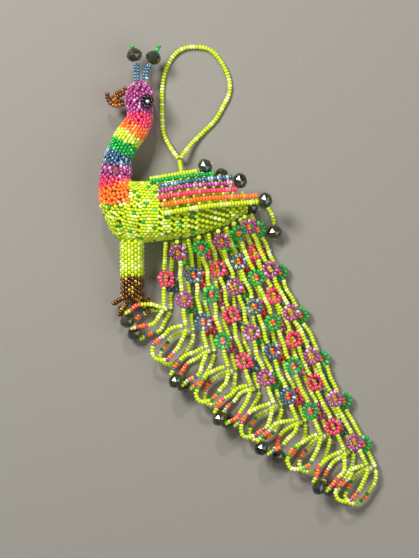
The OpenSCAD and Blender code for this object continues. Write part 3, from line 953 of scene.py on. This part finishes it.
    def make_legs(self) -> None:
        """Weaves both legs and strings their toes."""
        toes = [((-2.8, -8.4), (-4.6, -9.4), (-7.5, -11.2)), ((-0.9, -8.4), (-2.8, -11.5), (-5.1, -15.8)),
                ((1.1, -8.4), (4, -11.2), (6.4, -14.8)), ((3, -8.4), (5.8, -9.6), (10, -12.9))]
        for side, x, hip, foot, low in (("near", -41.6, 12.9, 8.3, 5.15), ("far", -40.9, 6.7, 2.8, 2.85)):
            def section(y: float) -> Station:
                """Gives the leg's section at a place along it."""
                z = (foot + (hip - foot) * (y + 7.3) / (11.9 + 7.3)) * MM
                return Station(mm(x + 4.3, y), mm(x - 4.3, y), z, 2.7 * MM)

            stations = [section(y) for y in (12.6, 6, 0, -4, -8.2)]
            names = {Bead.LIME: f"{side}_leg_skin", Bead.AMBER: f"{side}_shank"}

            def paint(spot: Spot) -> object:
                """Turns from the lime leg to the amber shank at the knee."""
                return Bead.LIME if spot.at.y > 0 else Bead.AMBER

            found = WovenSkin(self.shop).weave(stations, paint)
            for kind, places in found.items():
                self.shop.beads(f"{names[kind]}_beads", places, kind, self.body, (names[kind],))
            hand = self.shop.stringer(f"{side} toes")
            places = []
            levels = (foot, low + (foot - low) * 0.12, low)
            for toe in toes:
                path = smooth([mm(x + px, py, z) for (px, py), z in zip(toe, levels)], 4)
                places += hand.lay(path)
            self.shop.beads(f"{side}_toe_beads", places, Bead.AMBER, self.body, (f"{side}_toes",))

    def make_stem(self) -> None:
        """Strings the short stem that the hanging loop springs from."""
        path = smooth([mm(-22.2, 36.2, 9.4), mm(-22.4, 40.1, 7.6), mm(-23, 44.2, 5.1)], 4)
        self.shop.beads("loop_stem_beads", self.shop.stringer("stem").lay(path), Bead.LIME, self.body,
                        ("loop_stem",))
        self.shop.threads("loop_stem_thread", [path], self.body)

    def build(self) -> None:
        """Makes every piece of the body."""
        self.weave_body()
        self.make_face()
        self.make_legs()
        self.make_stem()


@dataclass
class HangingLoop:
    """The strung loop that the bird hangs from."""

    shop: Workshop
    route: Sequence[tuple[float, float, float]] = (
        (-23.5, 44.9, 4.7), (-24.4, 46.2, 4.2), (-26.9, 49.9, 2.2), (-29.3, 55, 1), (-29.8, 60.9, 0.9),
        (-29.9, 66.8, 0.9), (-29.7, 73.8, 0.9), (-28.1, 80.5, 0.9), (-24.9, 85.6, 0.9), (-21, 88, 0.9),
        (-16.3, 88.4, 0.9), (-12, 87.6, 0.9), (-8.5, 84.8, 0.9), (-5.3, 79.7, 0.9), (-3.7, 74.6, 0.9),
        (-3.9, 70.2, 0.9), (-6.1, 65.6, 0.9), (-9.2, 60.2, 0.9), (-14.3, 55, 1), (-18.3, 51, 2.2),
        (-21.6, 46.6, 4.2), (-22.5, 45, 4.7))

    def build(self) -> None:
        path = smooth([mm(*p) for p in self.route], 4)
        beads = self.shop.beads("hanging_loop_beads", self.shop.stringer("loop").lay(path), Bead.LIME, "loop",
                                ("hanging_loop",))
        thread = self.shop.threads("hanging_loop_thread", [path], "loop")
        round(lengths(path)[-1], 3)


@dataclass
class Crest:
    """Two beaded stalks, each with a crystal and a green tip."""

    shop: Workshop
    height: float = 8.1
    stalks: Sequence[tuple] = (
        ("left_crest", ((-39.4, 74.6), (-39.4, 78.2)), (-40.4, 84.6), 104, 1),
        ("right_crest", ((-36.1, 75.1), (-36.1, 77.8)), (-33.1, 83.6), 63, 2))
    seat: float = 2.6
    slack: float = 0.5
    bead_len: float = 1.5
    pair_gap: float = 0.54 * MM
    pair_girth: float = 0.8

    def build(self) -> None:
        """Strings both stalks."""
        for body, knots, crystal, angle, tips in self.stalks:
            way = Vector((math.cos(math.radians(angle)), math.sin(math.radians(angle)), 0))
            middle = mm(*crystal, self.height)
            end = middle - way * (self.seat + self.slack) * MM
            path = smooth([mm(*p, self.height) for p in knots] + [end], 4)
            hand = self.shop.stringer(body)
            girth = Matrix.Diagonal((self.pair_girth, self.pair_girth, 0.95, 1))
            pair = [place @ girth for side in (1, -1)
                    for place in hand.lay([point + Vector((side * self.pair_gap, 0, 0)) for point in path])]
            self.shop.beads(f"{body}_stalk_beads", pair, Bead.BLUE, body, (f"{body}_stalk",))
            tip = [middle + way * self.seat * MM, middle + way * (self.seat + tips * self.bead_len) * MM]
            self.shop.beads(f"{body}_tip_beads", hand.lay(tip, count=tips), Bead.GREEN, body)
            self.shop.threads(f"{body}_thread", [[*path, tip[1]]], body)


ROW_KINDS = (Bead.LIME, Bead.GREEN, Bead.BLUE, Bead.PURPLE, Bead.PINK, Bead.ORANGE, Bead.LIME)


@dataclass
class Wings:
    """The near wing, draped over the torso, and the far wing under it."""

    shop: Workshop
    near_rows: Sequence[Sequence[tuple[float, float, float]]] = (
        ((-34.4, 36.7, 13.2), (-25, 38.3, 12.6), (-16.28, 39.88, 10.66)),
        ((-34.4, 35.6, 15.4), (-24, 37.2, 14), (-15.6, 38.1, 12.9), (-9.4, 38.9, 12.4)),
        ((-31, 33.7, 17.4), (-18, 36, 15.2), (-2.9, 37.6, 12.8)),
        ((-31, 31.7, 18.7), (-17, 34.1, 16.6), (-2.7, 35.3, 13.4)),
        ((-31, 29.4, 19.9), (-16, 31.6, 17.8), (-1, 32.8, 14.2)),
        ((-29.8, 26.6, 20.9), (-13, 29.1, 18.8), (6.9, 30.3, 13.6)),
        ((-29.8, 23.2, 21), (-12, 26.2, 19.1), (7, 27.9, 13.8)))
    far_rows: Sequence[Sequence[tuple[float, float]]] = (
        ((-33, 34.8), (-22, 36.6), (-10, 37.4)), ((-33, 32.5), (-20, 34.2), (-6.6, 34.9)),
        ((-33, 30.2), (-18, 31.8), (-4, 32.4)), ((-33, 27.9), (-17, 29.4), (-1, 29.8)),
        ((-33, 25.6), (-16, 27), (1.4, 27.2)), ((-33, 23.3), (-16, 24.6), (0, 24.8)),
        ((-33, 21), (-17, 22.2), (-6, 22.3)))
    far_tip: Sequence[tuple[float, float]] = ((6, 29.4), (10.6, 26.6), (13, 22.6), (13.4, 19.6))
    far_z: float = 0.9
    seat: float = 3.2
    girth: float = 1.16
    ties: int = 9

    def crystal_thread(self, node: str, angle: float) -> list[Vector]:
        """Gives the thread through a wing crystal.

        Args:
            node: The crystal's node.
            angle: The heading of its hole, in degrees.

        Returns:
            The thread's two ends.
        """
        low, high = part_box(node)
        middle = (Vector(low) + Vector(high)) / 2
        way = Vector((math.cos(math.radians(angle)), math.sin(math.radians(angle)), 0)) * self.seat * MM
        return [middle - way, middle + way]

    def build_near(self) -> None:
        """Strings the near wing's rows, and the small beads that tie them together."""
        paths = [smooth([mm(*p) for p in row], 5) for row in self.near_rows]
        for i, (path, kind) in enumerate(zip(paths, ROW_KINDS), start=1):
            name = f"near_wing_row_{i}"
            stout = Matrix.Diagonal((self.girth, self.girth, 1, 1))
            places = [place @ stout for place in self.shop.stringer(name).lay(path)]
            self.shop.beads(f"{name}_beads", places, kind, "near_wing", (name,))
        ties = []
        for a, b in zip(paths, paths[1:]):
            marks_a, marks_b = lengths(a), lengths(b)
            for k in range(self.ties):
                share = (k + 0.5) / self.ties
                p, _ = along(a, marks_a, share * marks_a[-1])
                q, _ = along(b, marks_b, share * marks_b[-1])
                ties.append(upright((p + q) / 2 + Vector((0, 0, -0.6 * MM)), q - p)
                            @ Matrix.Diagonal((0.75, 0.75, 0.85, 1)))
        self.shop.beads("near_wing_tie_beads", ties, Bead.CLEAR, "near_wing")
        self.shop.threads("near_wing_threads", paths + [
            self.crystal_thread(f"near_wing_crystal_{k}", angle) for k, angle in ((1, 22), (2, 14), (3, 10))],
            "near_wing")

    def build_far(self) -> None:
        """Strings the far wing's rows and its long tip."""
        paths = [smooth([mm(*p, self.far_z) for p in row], 5) for row in self.far_rows]
        tip = smooth([mm(*p, self.far_z) for p in self.far_tip], 5)
        places: dict[Bead, list[Place]] = {}
        hand = self.shop.stringer("far wing")
        for path, kind in zip(paths, ROW_KINDS):
            places.setdefault(kind, []).extend(hand.lay(path))
        places[Bead.LIME] += hand.lay(tip)
        for kind, found in places.items():
            self.shop.beads(f"far_wing_{kind.name.lower()}_beads", found, kind, "far_wing", ("far_wing_rows",))
        self.shop.threads("far_wing_threads", paths + [tip] + [
            self.crystal_thread(f"far_wing_crystal_{k}", angle) for k, angle in ((1, 14), (2, -20), (3, -86))],
            "far_wing")

    def build(self) -> None:
        """Makes both wings."""
        self.build_near()
        self.build_far()


# ---- The tail ----


class Side(Enum):
    """The two curtains of the tail, back one first."""

    BACK = 0
    FRONT = 1


@dataclass
class Curtain:
    """One curtain of flowered strands, each ending in a strung loop."""

    shop: Workshop
    side: Side
    bird: Bird
    strands: int = 10
    flower_pitch: float = 18.5
    flower_r: float = 2.5
    bead_r: float = 0.85
    hem_len: float = 17.2
    hem_half: float = 4.9
    lying_z: float = 0.9
    layer_step: float = 1.9
    root_step: float = 3.5
    root_gap: float = 0.7
    drop_run: float = 13.0
    fork_drop: float = 10.0
    back_shift: float = 2.6
    back_drop: float = 2.2
    toe_lift: float = 3.15
    first_drop: float = 1.6
    petals: int = 11
    sway: float = 0.35
    first_root: float = -28.3
    root_span: float = 30.0
    crossing_lift: float = 3.6
    back_lift: float = 2.35
    mouth: float = 26.0
    crystal_turn: float = 128.0
    crystal_thread: float = 3.1
    accent_step: int = 8
    crystal_seat: float = 2.9
    headings: dict[Side, tuple[int, ...]] = field(default_factory=lambda: {
        Side.BACK: (214, 226, 227, 229, 226, 229, 232, 234, 238, 233),
        Side.FRONT: (199, 226, 227, 229, 226, 227, 217, 227, 235, 231)})
    colours: Sequence[Bead] = (Bead.PINK, Bead.PURPLE, Bead.BLUE, Bead.GREEN)

    @property
    def front(self) -> bool:
        """Says whether this is the front curtain."""
        return self.side is Side.FRONT

    def belly(self, x: float) -> float:
        """Gives the belly line's Y at an X, in millimetres."""
        line = [s.outer / MM for s in self.bird.torso_stations()[5:]]
        if x <= line[0].x:
            return line[0].y
        for a, b in zip(line, line[1:]):
            if x <= b.x:
                return a.y + (b.y - a.y) * (x - a.x) / (b.x - a.x)
        return line[-1].y

    def root(self, i: int) -> tuple[float, float]:
        """Gives the root of strand i, in millimetres."""
        x = self.first_root + self.root_span * (1 - (1 - i / (self.strands - 1)) ** 1.35)
        x += 0 if self.front else self.back_shift
        return x, self.belly(x) - self.root_gap

    def lean(self, i: int) -> float:
        """Gives the angle of strand i from straight down."""
        return math.radians(-2 + 28.3 * (i / (self.strands - 1)) ** 0.6)

    def layer(self, i: int) -> int:
        """Gives the layer that strand i lies in, counted from the surface up."""
        return 2 * self.side.value + i % 2

    def at(self, i: int, s: float) -> Vector:
        """Gives the point of strand i at a length s from its root.

        Args:
            i: The strand's number.
            s: The length, in millimetres.

        Returns:
            The point, in metres.
        """
        x, y = self.root(i)
        drift = self.drift(i, s / self.fork(i), s)
        x += s * math.sin(self.lean(i)) + drift * math.cos(self.lean(i))
        y += drift * math.sin(self.lean(i)) - s * math.cos(self.lean(i))
        top = self.bird.torso_z / MM + (self.layer(i) - 1.5) * self.root_step
        low = self.lying_z + self.layer(i) * self.layer_step
        fall = min(1.0, (self.belly(x) - y) / self.drop_run)
        return mm(x, y, top + (low - top) * fall)

    def drift(self, i: int, share: float, s: float) -> float:
        """Gives how far a loose string has slipped sideways, in millimetres.

        Args:
            i: The strand's number.
            share: The place between the string's fixed ends, from 0 to 1.
            s: The length along it.

        Returns:
            The offset, which is nothing at both ends.
        """
        held = math.sin(math.pi * min(1.0, max(0.0, share))) ** 0.5
        phase = 2.3 * i + 1.1 * self.side.value
        return self.sway * held * (math.sin(s * 0.47 + phase) + 0.6 * math.sin(s * 0.83 + 2 * phase))

    def flowers(self, i: int) -> list[float]:
        """Gives how far down strand i each flower is, in millimetres."""
        first = (4.3 if i % 2 else 13.9) + (0 if self.front else self.back_drop)
        return [first + j * self.flower_pitch for j in range((i + 1) // 2 + 1)]

    def fork(self, i: int) -> float:
        """Gives how far down strand i its end loop starts, in millimetres."""
        return self.flowers(i)[-1] + self.fork_drop + (self.first_drop if i == 0 and self.front else 0.0)

    def kind(self, i: int) -> Bead:
        """Gives the flower colour of strand i."""
        return self.colours[(i + (0 if self.front else 2)) % len(self.colours)]

    def end_point(self, i: int, u: float, v: float) -> Vector:
        """Gives a point of an end loop.

        Args:
            i: The strand's number.
            u: Length along the loop's heading from the fork, in millimetres.
            v: Length across it.

        Returns:
            The point, in metres.
        """
        fork = self.at(i, self.fork(i))
        a = math.radians(self.headings[self.side][i])
        long = self.end_length(i)
        share = min(1.0, max(0.0, u) / long)
        if i % 2:
            lift = 0.0
        elif self.front:
            lift = self.toe_lift * share ** 0.1 if i == 0 else self.crossing_lift * share ** 0.3
        else:
            lift = self.back_lift * share ** 4
        v += 1.3 * self.drift(i, share, u + (9 if v > 0 else 0))
        return fork + mm(u * math.cos(a) - v * math.sin(a), u * math.sin(a) + v * math.cos(a), lift)

    def end_length(self, i: int) -> float:
        """Gives the length of an end loop, in millimetres."""
        short = (2.6 if self.front else 0.6) if i == 0 else 0.0
        return self.hem_len - short

    def end_path(self, i: int, first: float, last: float, seat: float | None = None) -> list[Vector]:
        """Gives part of an end loop's teardrop.

        Args:
            i: The strand's number.
            first: The starting angle round the teardrop, in degrees.
            last: The last angle.
            seat: Where the path stops beside a crystal, across the loop, or None.

        Returns:
            The points.
        """
        points = []
        count = 15
        for k in range(count + 1):
            t = math.radians(first + (last - first) * k / count)
            u = self.end_length(i) * (1 - math.cos(t)) / 2
            v = self.hem_half * math.sin(t) * abs(math.sin(t / 2)) ** 0.6
            points.append(self.end_point(i, u, v))
        if seat is not None:
            points.append(self.end_point(i, self.end_length(i), seat))
        return points

    def string_flower(self, i: int, s: float) -> tuple[list[Place], list[Place]]:
        """Makes a flower.

        Args:
            i: The strand's number.
            s: The flower's place down the strand, in millimetres.

        Returns:
            The petals' places and the middle's.
        """
        before, after = self.at(i, s - self.flower_r), self.at(i, s + self.flower_r)
        middle = self.at(i, s)
        down = (after - before).normalized()
        side = Vector((0, 0, 1)).cross(down).normalized()
        up = down.cross(side)
        chance = random.Random(f"{SEED}{self.side.name}{i}{s}")
        turn = chance.uniform(0, 0.3)
        petals = []
        for k in range(self.petals):
            a = math.tau * (k + 0.5) / self.petals + turn
            spoke = math.cos(a) * down + math.sin(a) * side
            tangent = math.cos(a) * side - math.sin(a) * down
            wobble = Vector((0, 0, chance.gauss(0, 0.12 * MM))) + spoke * chance.gauss(0.05, 0.13) * MM
            petals.append(upright(middle + spoke * self.flower_r * MM + wobble, tangent, up)
                          @ Matrix.Diagonal((1.04, 1.04, 1.08, 1)))
        hearts = [upright(middle + down * offset * MM + up * 0.3 * MM, down, up)
                  @ Matrix.Diagonal((0.82, 0.82, 0.82, 1)) for offset in (-0.62, 0.62)]
        return petals, hearts

    def string_end(self, i: int, hand: Stringer) -> dict[Bead, list[Place]]:
        """Strings an end loop.

        Args:
            i: The strand's number.
            hand: The stringer.

        Returns:
            The beads' places by colour.
        """
        found: dict[Bead, list[Place]] = {}
        accent = (self.kind(i), Bead.ORANGE, Bead.ORANGE, self.kind(i))
        if i % 2:
            places = hand.lay(self.end_path(i, self.mouth, 360 - self.mouth))
            quarter = len(places) // 2 - self.accent_step
            spots = {quarter + k: kind for k, kind in enumerate(accent)}
            spots.update({len(places) - 1 - quarter - k: kind for k, kind in enumerate(accent)})
            for k, place in enumerate(places):
                found.setdefault(spots.get(k, Bead.LIME), []).append(place)
            return found
        for way in (1, -1):
            places = hand.lay(self.end_path(i, way * self.mouth, way * self.crystal_turn,
                                            way * self.crystal_seat))
            spots = {len(places) - 3 - k: kind for k, kind in enumerate(accent)}
            for k, place in enumerate(places):
                found.setdefault(spots.get(k, Bead.LIME), []).append(place)
        return found

    def build(self) -> None:
        """Makes the curtain's strands, flowers, end loops and threads."""
        name = self.side.name.lower()
        body = f"{name}_curtain"
        hand = self.shop.stringer(name)
        runs: list[Place] = []
        ends: dict[Bead, list[Place]] = {}
        petals: dict[Bead, list[Place]] = {}
        hearts: list[Place] = []
        crystal_threads = []
        half = self.flower_r + self.bead_r
        for i in range(self.strands):
            stops = self.flowers(i)
            fork = self.fork(i)
            edges = [0.0] + [s + d for s in stops for d in (-half, half)] + [fork]
            for a, b in zip(edges[::2], edges[1::2]):
                steps = max(2, int((b - a) / 1.5))
                if b - a > 0.6:
                    runs += hand.lay([self.at(i, a + (b - a) * k / steps) for k in range(steps + 1)])
            for s in stops:
                ring, middle = self.string_flower(i, s)
                petals.setdefault(self.kind(i), []).extend(ring)
                hearts += middle
            for kind, places in self.string_end(i, hand).items():
                ends.setdefault(kind, []).extend(places)
            if i % 2 == 0:
                long = self.end_length(i)
                crystal_threads.append([self.end_point(i, long, way * self.crystal_thread)
                                        for way in (1, -1)])
            self.string_thread(i, fork, body, name)
        self.shop.beads(f"{name}_strand_beads", runs, Bead.LIME, body, (f"{name}_strands",))
        for kind, places in petals.items():
            self.shop.beads(f"{name}_{kind.name.lower()}_flowers", places, kind, body,
                            (f"{name}_flower_rings",), "flower_beads")
        self.shop.beads(f"{name}_flower_hearts", hearts, Bead.ORANGE, body, (f"{name}_flower_centres",))
        for kind, places in ends.items():
            self.shop.beads(f"{name}_end_{kind.name.lower()}_beads", places, kind, body,
                            (f"{name}_end_loops",), "lime_beads")
        self.shop.threads(f"{name}_crystal_threads", crystal_threads, body)

    def string_thread(self, i: int, fork: float, body: str, name: str) -> None:
        """Args:
            i: The strand's number.
            fork: Its length down to the fork, in millimetres.
            body: The body that it moves with.
            name: The curtain's name.
        """
        count = 18
        path = [self.at(i, fork * k / count) for k in range(count + 1)]
        if i % 2:
            path += self.end_path(i, self.mouth, 360 - self.mouth)
        else:
            path += self.end_path(i, self.mouth, self.crystal_turn, self.crystal_seat)
        thread = self.shop.threads(f"{name}_strand_thread_{i + 1}", [path], body)
        round(lengths(path)[-1], 3)


# ---- Carried-over pieces, room and camera ----


def dress_cad_nodes() -> None:
    """Gives the crystals and the filling, which keep their frame shapes, their materials."""
    crystal, filling = CrystalFinish().build(), FillingFinish().build()
    for name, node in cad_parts.items():
        if "crystal" in name or name == "stuffing":
            material = crystal if "crystal" in name else filling
            for slot in node.material_slots:
                slot.material = material
            LOG.info("%s keeps its shape", name)


@dataclass
class Studio:
    """Floor, lights and camera."""

    view_height: float = 0.908
    view_middle: tuple[float, float] = (-11.5 * MM, -1.5 * MM)
    lens: float = 151.0
    floor_size: float = 1.6

    def build(self) -> None:
        """Makes the floor, the lights and the camera."""
        self.make_camera()
        self.make_floor()
        self.make_lights()

    def make_camera(self) -> None:
        """Looks straight down at the ornament."""
        data = bpy.data.cameras.new("camera")
        data.lens = self.lens
        data.sensor_width = 36
        data.clip_start = 0.01
        camera = placed("camera", data)
        camera.location = (*self.view_middle, self.view_height)
        bpy.context.scene.camera = camera

    def make_floor(self) -> None:
        """Lays a plain pale floor."""
        shape = bmesh.new()
        bmesh.ops.create_grid(shape, x_segments=2, y_segments=2, size=self.floor_size / 2)
        floor = placed("floor", mesh_from("floor", shape))
        shader = Shader("pale_floor")
        cloth = shader.noise(700.0, 2.0)
        floor.data.materials.append(shader.finish({
            "Base Color": shader.blend(cloth, (0.232, 0.215, 0.185, 1), (0.258, 0.239, 0.207, 1)),
            "Roughness": 0.92,
        }))

    def make_lights(self) -> None:
        """Hangs a window-like key light at the upper left, a fill and a soft sky."""
        lamps = (("key", (-0.42, 0.40, 0.62), 0.22, 8.0), ("fill", (0.55, -0.15, 0.60), 0.7, 3.0),
                 ("glint", (-0.10, 0.62, 0.55), 0.07, 2.4))
        for name, spot, size, power in lamps:
            data = bpy.data.lights.new(name, "AREA")
            data.size = size
            data.energy = power
            lamp = placed(name, data)
            lamp.location = spot
            lamp.rotation_euler = Vector(spot).to_track_quat("Z", "Y").to_euler()
        world = bpy.data.worlds.new("soft_sky")
        world.use_nodes = True
        sky = world.node_tree.nodes["Background"].inputs
        sky["Color"].default_value = (0.95, 0.97, 1.0, 1)
        sky["Strength"].default_value = 0.2
        bpy.context.scene.world = world
        bpy.context.scene.view_settings.view_transform = "Standard"


def main() -> None:
    """Builds the ornament piece by piece."""
    logging.basicConfig(level=logging.INFO, format="%(message)s")
    Studio().build()
    shop = Workshop()
    HangingLoop(shop).build()
    bird = Bird(shop)
    for side in Side:
        Curtain(shop, side, bird).build()
    bird.build()
    Crest(shop).build()
    Wings(shop).build()
    dress_cad_nodes()
    bpy.data.meshes.remove(shop.bead.mesh)


if __name__ == "__main__":
    main()
